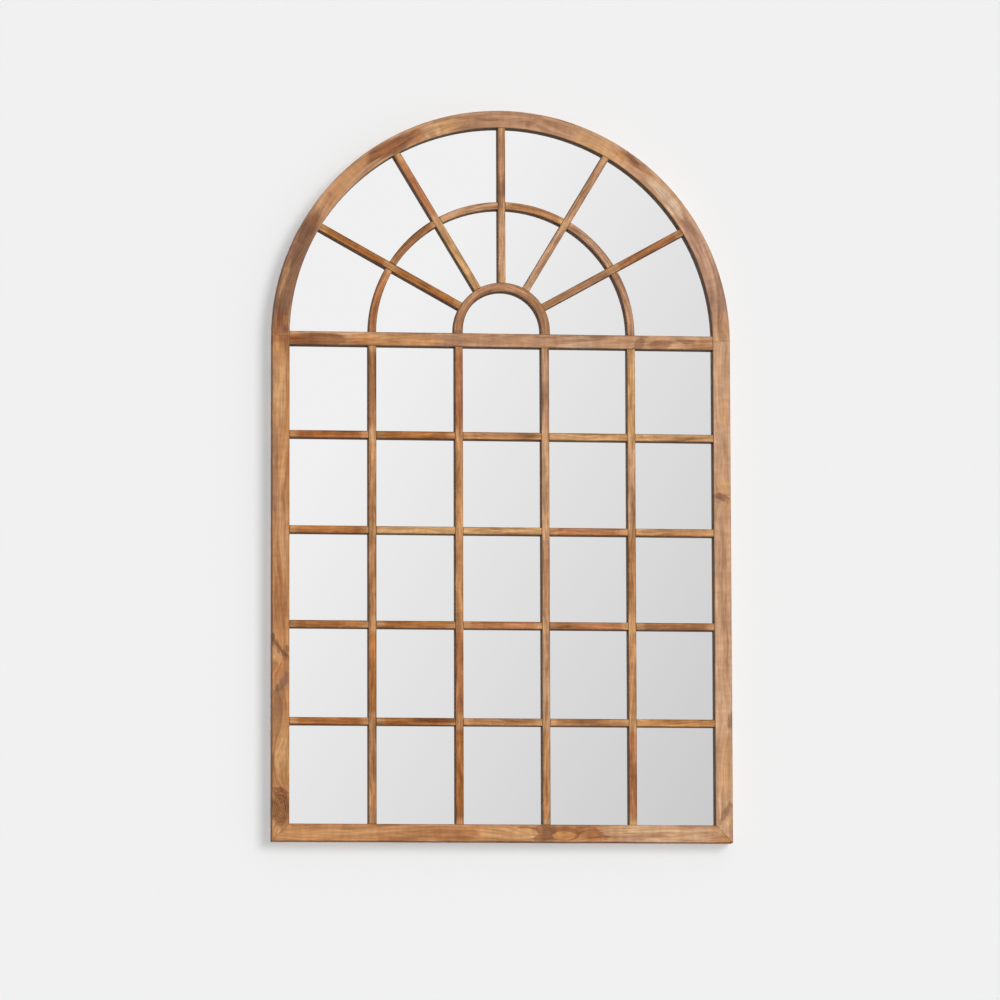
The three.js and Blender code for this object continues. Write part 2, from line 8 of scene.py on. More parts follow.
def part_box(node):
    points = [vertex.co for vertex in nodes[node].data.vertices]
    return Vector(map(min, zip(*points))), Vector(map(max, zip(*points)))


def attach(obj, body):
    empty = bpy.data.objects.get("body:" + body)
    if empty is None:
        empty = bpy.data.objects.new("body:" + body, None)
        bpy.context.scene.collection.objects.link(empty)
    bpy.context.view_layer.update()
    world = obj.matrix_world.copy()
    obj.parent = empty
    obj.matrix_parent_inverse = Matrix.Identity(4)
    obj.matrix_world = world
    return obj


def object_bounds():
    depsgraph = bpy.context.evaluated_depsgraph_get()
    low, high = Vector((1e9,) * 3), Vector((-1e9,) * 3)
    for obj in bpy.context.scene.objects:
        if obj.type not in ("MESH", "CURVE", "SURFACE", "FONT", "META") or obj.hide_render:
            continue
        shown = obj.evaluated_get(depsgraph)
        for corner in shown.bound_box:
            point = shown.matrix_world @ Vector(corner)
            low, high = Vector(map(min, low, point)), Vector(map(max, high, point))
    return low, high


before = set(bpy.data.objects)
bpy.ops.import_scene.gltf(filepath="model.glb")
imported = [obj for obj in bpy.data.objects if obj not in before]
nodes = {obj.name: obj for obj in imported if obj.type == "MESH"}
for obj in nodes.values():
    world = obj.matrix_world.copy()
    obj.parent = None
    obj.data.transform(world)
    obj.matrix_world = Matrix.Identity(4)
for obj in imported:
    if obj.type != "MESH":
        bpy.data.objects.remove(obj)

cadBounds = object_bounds()
low, high = cadBounds
mm = 0.001
noiseSpan = (0.3, 0.7)  # nearly all of a noise's values lie in it


# colour and node helpers

def linear(rgb):  # a screen colour, 0 to 255, as the light that it stands for
    parts = [c / 255 for c in rgb]
    return tuple(c / 12.92 if c < 0.04045 else ((c + 0.055) / 1.055) ** 2.4 for c in parts) + (1.0,)


def addNode(tree, kind, inputs=None, **settings):
    made = tree.nodes.new(kind)
    for name, value in settings.items():
        setattr(made, name, value)
    for name, value in (inputs or {}).items():
        if isinstance(value, bpy.types.NodeSocket):
            tree.links.new(value, made.inputs[name])
        else:
            made.inputs[name].default_value = value
    return made


def calc(tree, operation, *values):
    return addNode(tree, "ShaderNodeMath", dict(enumerate(values)), operation=operation).outputs[0]


def remap(tree, value, fromMin, fromMax, toMin=0.0, toMax=1.0, smooth=False):
    inputs = {"Value": value, "From Min": fromMin, "From Max": fromMax, "To Min": toMin, "To Max": toMax}
    kind = "SMOOTHSTEP" if smooth else "LINEAR"
    return addNode(tree, "ShaderNodeMapRange", inputs, interpolation_type=kind).outputs["Result"]


def mixColour(tree, factor, first, second, blend="MIX"):
    made = addNode(tree, "ShaderNodeMix", data_type="RGBA", blend_type=blend, clamp_factor=True)
    for socket, value in ((made.inputs[0], factor), (made.inputs[6], first), (made.inputs[7], second)):
        if isinstance(value, bpy.types.NodeSocket):
            tree.links.new(value, socket)
        else:
            socket.default_value = value
    return made.outputs[2]


def swing(tree, noise, lowest, highest):  # a noise, stretched to run between two values
    return remap(tree, noise, *noiseSpan, lowest, highest)


def stretchedNoise(tree, place, stretch, detail=2.0, roughness=0.5):  # stretch: to the metre, three ways
    scaled = addNode(tree, "ShaderNodeVectorMath", {0: place, 1: stretch}, operation="MULTIPLY")
    inputs = {"Vector": scaled.outputs[0], "Scale": 1.0, "Detail": detail, "Roughness": roughness}
    return addNode(tree, "ShaderNodeTexNoise", inputs, noise_dimensions="3D")


def newMaterial(name):
    made = bpy.data.materials.new(name)
    made.use_nodes = True
    made.node_tree.nodes.clear()
    return made, made.node_tree


def finishMaterial(tree, colour, roughness, height=None, bump=None, **plain):
    shader = addNode(tree, "ShaderNodeBsdfPrincipled")
    for name, value in plain.items():
        shader.inputs[name.replace("_", " ")].default_value = value
    for name, value in (("Base Color", colour), ("Roughness", roughness)):
        if isinstance(value, bpy.types.NodeSocket):
            tree.links.new(value, shader.inputs[name])
        else:
            shader.inputs[name].default_value = value
    if height is not None:
        strength, distance = bump
        inputs = {"Height": height, "Strength": strength, "Distance": distance}
        bumpNode = addNode(tree, "ShaderNodeBump", inputs)
        tree.links.new(bumpNode.outputs["Normal"], shader.inputs["Normal"])
    addNode(tree, "ShaderNodeOutputMaterial", {"Surface": shader.outputs["BSDF"]})


# camera, where the photograph was taken from

camera = {
    "place": (-1.737, -14.038, -1.836),  # below and to the left of the mirror
    "yaw": 7.05,  # degrees, turned to the right
    "pitch": 6.25,  # tilted up
    "roll": -0.16,
    "lens": 236.9,  # mm
    "sensor": 36,
    "clip": (0.5, 80),  # m
}


def makeCamera():
    yaw, pitch, roll = (radians(camera[k]) for k in ("yaw", "pitch", "roll"))
    ahead = Vector((sin(yaw) * cos(pitch), cos(yaw) * cos(pitch), sin(pitch)))
    level = Vector((cos(yaw), -sin(yaw), 0))
    above = level.cross(ahead)
    right = level * cos(roll) + above * sin(roll)
    up = above * cos(roll) - level * sin(roll)
    data = bpy.data.cameras.new("photoCamera")
    data.lens = camera["lens"]
    data.sensor_width = camera["sensor"]
    data.clip_start, data.clip_end = camera["clip"]
    made = bpy.data.objects.new("photoCamera", data)
    bpy.context.scene.collection.objects.link(made)
    turn = Matrix((right, up, -ahead)).transposed()
    made.matrix_world = Matrix.Translation(Vector(camera["place"])) @ turn.to_4x4()
    bpy.context.scene.camera = made
    print("camera placed")


# studio: soft key from the upper right, a front and a back light, pale surroundings

studio = {
    "keyFrom": (0.636, -1.0, 0.40),  # towards the light
    "keySpread": 29,  # degrees across
    "keyStrength": 1.36,
    "frontFrom": (-0.03, -1.0, 0.0),
    "frontSpread": 8,
    "frontStrength": 1.66,
    "backFrom": (0.30, 1.0, 0.35),  # lights the side that hangs against the wall
    "backSpread": 40,
    "backStrength": 2.4,
    "ambient": 0.22,  # what the room sends to matt surfaces
    "brighterSide": (1.0, 0.0, 0.4),  # how much more of it comes from the right and from above
    "paleGrey": (240, 240, 240),
    "shadeSlope": (1.0, 0.0, -0.59),  # the way in which the room that the mirror shows gets greyer
    "shadeFrom": 0.027,
    "shadeTo": 0.130,
    "shadeDepth": 0.64,  # of the pale grey, at its darkest
    "wallSize": (3.4, 3.4),
    "wallGap": 0.5 * mm,
    "wallTone": 0.80,
    "floorSize": 16,
    "floorHeight": -2.3,
    "floorTone": 0.84,
}


def makeSun(name, towards, spread, strength):
    data = bpy.data.lights.new(name, "SUN")
    data.energy = strength
    data.angle = radians(spread)
    made = bpy.data.objects.new(name, data)
    made.rotation_euler = Vector(towards).to_track_quat("Z", "Y").to_euler()
    made.visible_glossy = False  # the mirror shows the room and not the lamps
    bpy.context.scene.collection.objects.link(made)


def makeSurroundings():
    world = bpy.data.worlds.new("paleRoom")
    world.use_nodes = True
    bpy.context.scene.world = world
    tree = world.node_tree
    tree.nodes.clear()
    pale = linear(studio["paleGrey"])[0]
    way = addNode(tree, "ShaderNodeTexCoord").outputs["Generated"]
    inputs = {0: way, 1: studio["shadeSlope"]}
    slope = addNode(tree, "ShaderNodeVectorMath", inputs, operation="DOT_PRODUCT").outputs["Value"]
    bright = pale / mirror["tint"][0]  # what the silvering takes off is made up for
    shade = remap(tree, slope, studio["shadeFrom"], studio["shadeTo"], bright, bright * studio["shadeDepth"])
    inputs = {0: way, 1: studio["brighterSide"]}
    lean = addNode(tree, "ShaderNodeVectorMath", inputs, operation="DOT_PRODUCT").outputs["Value"]
    leaning = calc(tree, "MAXIMUM", calc(tree, "ADD", lean, 1.0), 0.0)
    ambient = calc(tree, "MULTIPLY", leaning, studio["ambient"])
    rays = addNode(tree, "ShaderNodeLightPath").outputs
    inputs = {"Factor": rays["Is Camera Ray"], "A": shade, "B": pale}
    seen = addNode(tree, "ShaderNodeMix", inputs, data_type="FLOAT").outputs["Result"]
    onMatt = calc(tree, "MINIMUM", rays["Diffuse Depth"], 1.0)
    inputs = {"Factor": onMatt, "A": seen, "B": ambient}
    strength = addNode(tree, "ShaderNodeMix", inputs, data_type="FLOAT").outputs["Result"]
    inputs = {"Color": (1, 1, 1, 1), "Strength": strength}
    background = addNode(tree, "ShaderNodeBackground", inputs)
    addNode(tree, "ShaderNodeOutputWorld", {"Surface": background.outputs[0]})


def oneSided(name, tone, kind):  # a view from behind looks through it
    made, tree = newMaterial(name)
    facing = addNode(tree, kind, {"Color": (tone, tone, tone, 1)})
    clear = addNode(tree, "ShaderNodeBsdfTransparent")
    behind = addNode(tree, "ShaderNodeNewGeometry").outputs["Backfacing"]
    surface = addNode(tree, "ShaderNodeMixShader", {0: behind, 1: facing.outputs[0], 2: clear.outputs[0]})
    addNode(tree, "ShaderNodeOutputMaterial", {"Surface": surface.outputs[0]})
    return made


def makePlane(name, corners, material):
    mesh = bpy.data.meshes.new(name)
    mesh.from_pydata(corners, [], [range(4)])
    mesh.materials.append(material)
    made = bpy.data.objects.new(name, mesh)
    bpy.context.scene.collection.objects.link(made)
    made.visible_diffuse = made.visible_glossy = made.visible_shadow = False


def makeStudio():
    for lamp in ("key", "front", "back"):
        makeSun(f"{lamp}Light", studio[f"{lamp}From"], studio[f"{lamp}Spread"], studio[f"{lamp}Strength"])
    makeSurroundings()
    middle = (low.z + high.z) / 2
    halfX, halfZ = (s / 2 for s in studio["wallSize"])
    y = high.y + studio["wallGap"]
    wall = [(-halfX, y, middle - halfZ), (halfX, y, middle - halfZ),
            (halfX, y, middle + halfZ), (-halfX, y, middle + halfZ)]
    makePlane("wall", wall, oneSided("wallPaint", studio["wallTone"], "ShaderNodeBsdfDiffuse"))
    far = studio["floorSize"] / 2
    z = studio["floorHeight"]
    floor = [(-far, -far, z), (far, -far, z), (far, far, z), (-far, far, z)]
    makePlane("floor", floor, oneSided("floorPaint", studio["floorTone"], "ShaderNodeEmission"))
    view = bpy.context.scene.view_settings
    view.view_transform = "Standard"
    view.look = "None"
    print("studio lit")


# timber: every board has its own grain direction, figure and tone

tones = {  # the middle tone of each kind of wood, as seen under the studio's light
    "blond": (214, 184, 156),
    "cream": (218, 176, 130),
    "golden": (202, 154, 106),
    "copper": (198, 140, 86),
    "sand": (197, 154, 120),
    "tan": (192, 147, 110),
    "mauve": (182, 142, 118),
    "fawn": (174, 131, 101),
    "honey": (184, 131, 87),
    "hazel": (167, 122, 89),
    "russet": (170, 113, 74),
    "amber": (168, 109, 61),
    "toffee": (158, 98, 54),
    "chestnut": (148, 101, 66),
    "walnut": (142, 103, 79),
    "mahogany": (134, 84, 58),
    "plum": (112, 78, 60),
}

timber = {
    "lightest": (1.11, 1.14, 1.18),  # of the middle tone
    "darkest": (0.76, 0.70, 0.65),
    "toneStops": (0.08, 0.5, 0.92),  # of the darkest, the middle and the lightest
    "leastColour": 0.002,
    "frontLight": 1.055,  # how much the lamps lift a colour on the front
    "ground": {"Bands": 0.34, "Mottle": 0.32, "Streaks": 0.34},  # what makes a tone lighter or darker
    "groundSpan": 0.20,  # either side of the middle
    "secondFrom": (0.47, 0.55),  # the mottle where a board's second tone starts, and where it is full
    "sheen": 0.12,  # specular level of the oiled surface
    "roughness": (0.50, 0.64),
    "frayLong": 8 * mm,  # how far a patch's edge wanders along the grain, and across it
    "frayWide": 3 * mm,
    "patchEdge": (1.14, 0.72),  # where a patch starts and where it is full, as shares of its outline
    "lobeEdge": (1.05, 0.90),  # the same for the crisp ones
    "lobeFray": 0.4,  # beside a patch's
    "patchFibre": (0.38, 0.58),  # from the fibres that a patch stains least to those that it stains most
    "patchGrain": (0.62, 1.0),  # of its strength
    "streaks": 0.28,  # how much the streaks lighten and darken
    "fibre": 0.22,
    "curl": 0.09,  # ripple across the grain
    "lines": 0.28,  # how much the ring lines darken
    "flecks": 0.28,
    "pores": 0.30,
    "sanded": 0.50,  # how much paler a bar is beside its joints
    "sandedReach": 24 * mm,
    "sandedFull": 0.4,  # of the reach
    "arris": 0.45,  # how much painted shade darkens the eased edges
    "arrisReach": 2.6 * mm,
    "arrisFull": 0.4 * mm,
    # how much painted shade darkens the sides
    "sides": 0.28,
    "sideFrom": (0.3 * mm, 0.1 * mm),  # from the edge
    "seam": 0.45,
    "seamReach": 1.6 * mm,
    "knots": 0.62,
    "knotEdge": (1.1, 0.8),  # where a knot's rings start and where they are full
    "knotLine": 2.0,  # how crisp they are
    "knotHeart": (0.3, 0.1),  # the same two places for its dark heart
    "heartDepth": 0.5,
    "bumpStrength": 0.35,
    "bumpDepth": 0.25 * mm,
}

grain = {
    "wanders": (  # a long wave and a short one: swings to the metre, and reach in m, each three ways
        ((2.8, 7, 7), (0, 0.018, 0.030)),
        ((11, 14, 20), (0, 0.005, 0.009)),
    ),
    "wanderDetail": 1.5,
    "ringPitch": 7.0 * mm,
    "ringSwell": 5.0,  # how many rings a loop takes in
    "ringDrift": 1.4,  # how soon the bands change along the board
    "lineCrispness": 4.0,
    "lineEnd": 0.93,  # of the way from one ring to the next
    "fleckFrom": (0.58, 0.70),
    "poreFrom": (0.66, 0.76),
    "fibreHeight": 0.6,
    "poreDepth": 0.9,
}

grainNoise = {  # swings to the metre along, through and across the board, then detail and roughness
    "swell": ((2.3, 10, 17), 1, 0.4),
    "streaks": ((12, 112, 112), 4, 0.62),
    "fibre": ((16, 340, 340), 3, 0.6),
    "flecks": ((34, 300, 300), 2, 0.55),
    "pores": ((85, 1500, 1500), 1, 0.5),
    "mottle": ((9, 26, 34), 2.5, 0.55),
    "curl": ((90, 14, 26), 1, 0.5),
    "bands": ((0.60, 1, 1), 3, 0.62),  # these to the ring and not to the metre
}


def makeFigureGroup():
    tree = bpy.data.node_groups.new("timberFigure", "ShaderNodeTree")
    tree.interface.new_socket("Place", in_out="INPUT", socket_type="NodeSocketVector")
    tree.interface.new_socket("Lift", in_out="INPUT", socket_type="NodeSocketFloat")
    for name in ("Bands", "Streaks", "Fibre", "Lines", "Flecks", "Pores", "Mottle", "Curl", "Height"):
        tree.interface.new_socket(name, in_out="OUTPUT", socket_type="NodeSocketFloat")
    given = addNode(tree, "NodeGroupInput").outputs
    place = given["Place"]

    # the grain bends round the knots, and wanders from side to side along the board
    lift = addNode(tree, "ShaderNodeCombineXYZ", {"Z": given["Lift"]}).outputs[0]
    bent = addNode(tree, "ShaderNodeVectorMath", {0: place, 1: lift}, operation="ADD").outputs[0]
    for stretch, reach in grain["wanders"]:
        wander = stretchedNoise(tree, place, stretch, grain["wanderDetail"]).outputs["Color"]
        centred = addNode(tree, "ShaderNodeVectorMath", {0: wander, 1: (0.5, 0.5, 0.5)}, operation="SUBTRACT")
        inputs = {0: centred.outputs[0], 1: reach, 2: bent}
        bent = addNode(tree, "ShaderNodeVectorMath", inputs, operation="MULTIPLY_ADD").outputs[0]

    def noise(name, where):
        return stretchedNoise(tree, where, *grainNoise[name]).outputs["Fac"]

    # rings count up across the board and swell into long loops
    parts = addNode(tree, "ShaderNodeSeparateXYZ", {0: bent}).outputs
    through = calc(tree, "DIVIDE", calc(tree, "ADD", parts["Y"], parts["Z"]), grain["ringPitch"])
    ring = calc(tree, "MULTIPLY_ADD", noise("swell", bent), grain["ringSwell"], through)
    inputs = {"X": ring, "Y": calc(tree, "MULTIPLY", parts["X"], grain["ringDrift"])}
    ringPlace = addNode(tree, "ShaderNodeCombineXYZ", inputs).outputs[0]
    growth = calc(tree, "FRACT", ring)
    rising = calc(tree, "POWER", growth, grain["lineCrispness"])
    lines = calc(tree, "MULTIPLY", rising, remap(tree, growth, 1.0, grain["lineEnd"]))

    fibre = noise("fibre", bent)
    flecks = remap(tree, noise("flecks", bent), *grain["fleckFrom"])
    pores = remap(tree, noise("pores", bent), *grain["poreFrom"])
    raised = calc(tree, "MULTIPLY", fibre, grain["fibreHeight"])
    height = calc(tree, "SUBTRACT", raised, calc(tree, "MULTIPLY", pores, grain["poreDepth"]))
    results = {"Bands": noise("bands", ringPlace), "Streaks": noise("streaks", bent), "Fibre": fibre,
               "Lines": lines, "Flecks": flecks, "Pores": pores, "Mottle": noise("mottle", bent),
               "Curl": noise("curl", bent), "Height": height}
    addNode(tree, "NodeGroupOutput", results)
    return tree


figure = makeFigureGroup()


def straightPlace(tree, board):  # along the board, through its depth, across it
    turn = radians(board["grain"])
    middle = Vector((board["centre"][0], 0, board["centre"][1]))
    turned = Matrix.Rotation(turn, 3, "Y") @ middle
    rotation = (0, turn, 0)
    source = addNode(tree, "ShaderNodeTexCoord").outputs["Object"]
    inputs = {"Vector": source, "Location": -turned, "Rotation": rotation}
    return addNode(tree, "ShaderNodeMapping", inputs, vector_type="POINT").outputs[0]


def curvedPlace(tree, board):  # the same three, where the grain follows a curve about a centre
    x, z = board["centre"]
    source = addNode(tree, "ShaderNodeTexCoord").outputs["Object"]
    inputs = {0: source, 1: (x, 0, z)}
    offset = addNode(tree, "ShaderNodeVectorMath", inputs, operation="SUBTRACT").outputs[0]
    parts = addNode(tree, "ShaderNodeSeparateXYZ", {0: offset}).outputs
    angle = calc(tree, "ARCTAN2", parts["Z"], parts["X"])
    flat = addNode(tree, "ShaderNodeVectorMath", {0: offset, 1: (1, 0, 1)}, operation="MULTIPLY").outputs[0]
    reach = addNode(tree, "ShaderNodeVectorMath", {0: flat}, operation="LENGTH").outputs["Value"]
    inputs = {"X": calc(tree, "MULTIPLY", angle, board["radius"]), "Y": parts["Y"],
              "Z": calc(tree, "SUBTRACT", reach, board["radius"])}
    return addNode(tree, "ShaderNodeCombineXYZ", inputs).outputs[0]


def toneRamp(tree, tone, factor):
    ramp = addNode(tree, "ShaderNodeValToRGB", {"Fac": factor})
    elements = ramp.color_ramp.elements
    elements.new(0.5)
    shares = (timber["darkest"], (1, 1, 1), timber["lightest"])
    for element, stop, share in zip(elements, timber["toneStops"], shares):
        seen = linear(min(255, c * s) for c, s in zip(tones[tone], share))[:3]
        element.position = stop
        element.color = [max(timber["leastColour"], c / timber["frontLight"]) for c in seen] + [1]
    return ramp.outputs["Color"]


def onBoard(board, x, z):  # a place in the part's frame, in mm, as one along and across the board
    dx = x * mm - board["centre"][0]
    dz = z * mm - board["centre"][1]
    if "radius" in board:
        return atan2(dz, dx) * board["radius"], hypot(dx, dz) - board["radius"]
    turn = radians(board["grain"])
    return dx * cos(turn) + dz * sin(turn), dz * cos(turn) - dx * sin(turn)


def ovalReach(tree, board, place, x, z, halfLength, halfWidth, turn):  # 1 on the oval's outline
    along, across = onBoard(board, x, z)
    lean = radians(turn - board.get("grain", 0))  # on a curved board the turn is a lean off its curve
    inputs = {"Vector": place, "Location": (along, 0, across), "Rotation": (0, -lean, 0),
              "Scale": (halfLength * mm, 1, halfWidth * mm)}
    local = addNode(tree, "ShaderNodeMapping", inputs, vector_type="TEXTURE").outputs[0]
    flat = addNode(tree, "ShaderNodeVectorMath", {0: local, 1: (1, 0, 1)}, operation="MULTIPLY").outputs[0]
    return addNode(tree, "ShaderNodeVectorMath", {0: flat}, operation="LENGTH").outputs["Value"]


def swirlLift(tree, board, place):  # how far the grain is pushed aside round every swirl
    lift = None
    for *oval, push in board.get("swirls", ()):
        reach = ovalReach(tree, board, place, *oval)
        hill = calc(tree, "EXPONENT", calc(tree, "MULTIPLY", calc(tree, "MULTIPLY", reach, reach), -1.0))
        raised = calc(tree, "MULTIPLY", hill, push * mm)
        lift = raised if lift is None else calc(tree, "ADD", lift, raised)
    return lift


def knotRings(tree, board, place):  # closed rings inside every knot, and a dark heart
    shade = None
    for *oval, rings in board.get("knots", ()):
        reach = ovalReach(tree, board, place, *oval)
        growth = calc(tree, "FRACT", calc(tree, "MULTIPLY", reach, rings))
        rising = calc(tree, "POWER", growth, timber["knotLine"])
        line = calc(tree, "MULTIPLY", rising, remap(tree, reach, *timber["knotEdge"]))
        heart = remap(tree, reach, *timber["knotHeart"], 0.0, timber["heartDepth"])
        dark = calc(tree, "MAXIMUM", line, heart)
        shade = dark if shade is None else calc(tree, "MAXIMUM", shade, dark)
    return shade


def nearestPlace(tree, coordinate, places):
    nearest = None
    for place in places:
        away = calc(tree, "ABSOLUTE", calc(tree, "SUBTRACT", coordinate, place))
        nearest = away if nearest is None else calc(tree, "MINIMUM", nearest, away)
    return nearest


def paintedEdgeShade(tree, board, place):  # painted shade: how much darker the eased edges and the sides are made than the face
    across = addNode(tree, "ShaderNodeSeparateXYZ", {0: place}).outputs["Z"]
    inward = calc(tree, "SUBTRACT", board["face"] / 2, calc(tree, "ABSOLUTE", across))
    arris, sides = (board.get(k, timber[k]) for k in ("arris", "sides"))
    band = remap(tree, inward, timber["arrisReach"], timber["arrisFull"], 0.0, arris, smooth=True)
    onSide = remap(tree, inward, *timber["sideFrom"], 0.0, sides - arris)
    return calc(tree, "ADD", band, onSide)


def mitreGap(tree):  # how far a place on the face lies from the mitre line of either lower corner
    source = addNode(tree, "ShaderNodeTexCoord").outputs["Object"]
    parts = addNode(tree, "ShaderNodeSeparateXYZ", {0: source}).outputs
    fromSide = calc(tree, "SUBTRACT", high.x, calc(tree, "ABSOLUTE", parts["X"]))
    fromFoot = calc(tree, "SUBTRACT", parts["Z"], low.z)
    return calc(tree, "ABSOLUTE", calc(tree, "SUBTRACT", fromSide, fromFoot))


def darken(tree, shade, share, depth):  # takes a share times a depth off a shade
    return calc(tree, "MULTIPLY", shade, calc(tree, "SUBTRACT", 1.0, calc(tree, "MULTIPLY", share, depth)))


def groundTone(tree, board, parts):  # the board's own tone, and the light and dark that all its tones share
    mix = 0.0
    for part, weight in timber["ground"].items():
        mix = calc(tree, "MULTIPLY_ADD", parts[part], weight, mix)
    span = timber["groundSpan"] / board.get("contrast", 1)
    spread = remap(tree, mix, 0.5 - span, 0.5 + span)
    colour = toneRamp(tree, board["tone"], spread)
    if "second" in board:
        zone = remap(tree, parts["Mottle"], *timber["secondFrom"], smooth=True)
        colour = mixColour(tree, zone, colour, toneRamp(tree, board["second"], spread))
    return colour, spread


def patchFray(tree, parts):  # how far a patch's edge wanders from fibre to fibre
    along = timber["frayLong"]
    across = timber["frayWide"]
    banded = swing(tree, parts["Bands"], -across, across)
    mottled = swing(tree, parts["Mottle"], -across, across)
    inputs = {"X": swing(tree, parts["Streaks"], -along, along), "Y": 0.0,
              "Z": calc(tree, "ADD", banded, mottled)}
    return addNode(tree, "ShaderNodeCombineXYZ", inputs).outputs[0]


def paintPatches(tree, board, place, parts, colour, spread):  # heartwood and sapwood, with ragged ends
    stained = remap(tree, parts["Fibre"], *timber["patchFibre"], *timber["patchGrain"])
    fray = patchFray(tree, parts)
    for kind, edge, amount in (("patches", "patchEdge", 1.0), ("lobes", "lobeEdge", timber["lobeFray"])):
        inputs = {0: fray, 1: (amount,) * 3, 2: place}
        ragged = addNode(tree, "ShaderNodeVectorMath", inputs, operation="MULTIPLY_ADD").outputs[0]
        for *oval, tone, strength in board.get(kind, ()):
            reach = ovalReach(tree, board, ragged, *oval)
            factor = remap(tree, reach, *timber[edge], 0.0, strength, smooth=True)
            if strength < 1:
                factor = calc(tree, "MULTIPLY", factor, stained)
            colour = mixColour(tree, factor, colour, toneRamp(tree, tone, spread))
    return colour, ragged


def sandJoints(tree, toJoint, colour, spread):  # a bar is paler where it was sanded flush
    reach = timber["sandedReach"]
    factor = remap(tree, toJoint, reach * timber["sandedFull"], reach, timber["sanded"], 0.0, smooth=True)
    return mixColour(tree, factor, colour, toneRamp(tree, "golden", spread))


def figureShade(tree, board, parts):  # streaks, fibre and ripple go both ways, the others only darken
    figured = board.get("figure", 1.0)
    depths = {"Streaks": timber["streaks"] * figured, "Fibre": timber["fibre"] * figured,
              "Curl": timber["curl"]}
    shade = 1.0
    for part, depth in depths.items():
        shade = calc(tree, "MULTIPLY", shade, swing(tree, parts[part], 1 - depth, 1 + depth))
    for part in ("Lines", "Flecks", "Pores"):
        shade = darken(tree, shade, parts[part], timber[part.lower()] * figured)
    return shade


def jointGap(tree, board, toJoint):  # how far a place lies from the line where two pieces meet
    if "seam" in board:
        return calc(tree, "ABSOLUTE", calc(tree, "SUBTRACT", toJoint, board["seam"]))
    if board.get("mitred"):
        return mitreGap(tree)
    return None


def makeTimber(name, board):
    made, tree = newMaterial(f"{name}Timber")
    place = (curvedPlace if "radius" in board else straightPlace)(tree, board)
    shift = tuple(board["seed"] * step % room for step, room in seedSteps)
    moved = addNode(tree, "ShaderNodeVectorMath", {0: place, 1: shift}, operation="ADD").outputs[0]
    group = addNode(tree, "ShaderNodeGroup", node_tree=figure)
    tree.links.new(moved, group.inputs["Place"])
    lift = swirlLift(tree, board, place)
    if lift is not None:
        tree.links.new(lift, group.inputs["Lift"])
    parts = group.outputs

    colour, spread = groundTone(tree, board, parts)
    ragged = place
    if board.get("patches"):
        colour, ragged = paintPatches(tree, board, place, parts, colour, spread)
    toJoint = None
    if "joints" in board:
        along = addNode(tree, "ShaderNodeSeparateXYZ", {0: place}).outputs["X"]
        toJoint = nearestPlace(tree, along, board["joints"])
        colour = sandJoints(tree, toJoint, colour, spread)

    shade = figureShade(tree, board, parts)
    # painted shade on the eased edges and the sides
    shade = darken(tree, shade, paintedEdgeShade(tree, board, place), 1.0)
    gap = jointGap(tree, board, toJoint)
    if gap is not None:
        shade = darken(tree, shade, remap(tree, gap, timber["seamReach"], 0.0), timber["seam"])
    if "knots" in board:
        shade = darken(tree, shade, knotRings(tree, board, ragged), timber["knots"])
    grey = addNode(tree, "ShaderNodeCombineColor", {0: shade, 1: shade, 2: shade}).outputs[0]
    colour = mixColour(tree, 1.0, colour, grey, blend="MULTIPLY")
    roughness = swing(tree, parts["Fibre"], *timber["roughness"])
    bump = (timber["bumpStrength"], timber["bumpDepth"])
    finishMaterial(tree, colour, roughness, parts["Height"], bump, Specular_IOR_Level=timber["sheen"])
    return made


# the boards: where each lies, and the figure that it shows in the photograph

def middleOf(node):
    a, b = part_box(node)
    return ((a.x + b.x) / 2, (a.z + b.z) / 2)


def heightOf(node):
    a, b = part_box(node)
    return b.z - a.z


rows = 4
columns = 5
archSegments = 5
archRadius = (high.x - low.x) / 2
springZ = high.z - archRadius
frameFace = heightOf("bottom_rail")
barFace = heightOf("cross_bar_1_1")
hubFace = 19.5 * mm
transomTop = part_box("transom")[1].z
middleArcSink = 1.8 * mm  # how far its centre lies below the transom's top
hubLegHeight = 7 * mm  # how far the hub arc's centre lies above it
spokeRise = 9.5 * mm  # the spokes point at a place this high above the transom
spokeAngles = (29, 59, 90, 121, 151)
barContrast = 1.1  # of the bars' tones
# the frame's boards get less painted shade on their eased edges than the bars, and more on their sides
wide = {"face": frameFace, "figure": 0.6, "arris": 0.28, "sides": 0.42}  # what the frame's boards share
crossingHeights = [middleOf(f"cross_bar_{row}_1")[1] for row in range(rows, 0, -1)]
middleRadius = middleOf("upright_bar_4")[0]
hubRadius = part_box("hub_arc")[1].x - hubFace / 2

seedSteps = ((1.37, 7), (0.61, 3), (0.83, 5))  # where a seed puts a board in the noise: step and room, in m
seeds = {  # the first one's and the step to the next; for the cross bars the steps by row and by column
    "upright": (61, 3),
    "cross": (5, 13),
    "spoke": (83, 5),
    "middleArc": (101, 7),
    "hubArc": 149,
    "splines": {"left": 53, "right": 59},
}

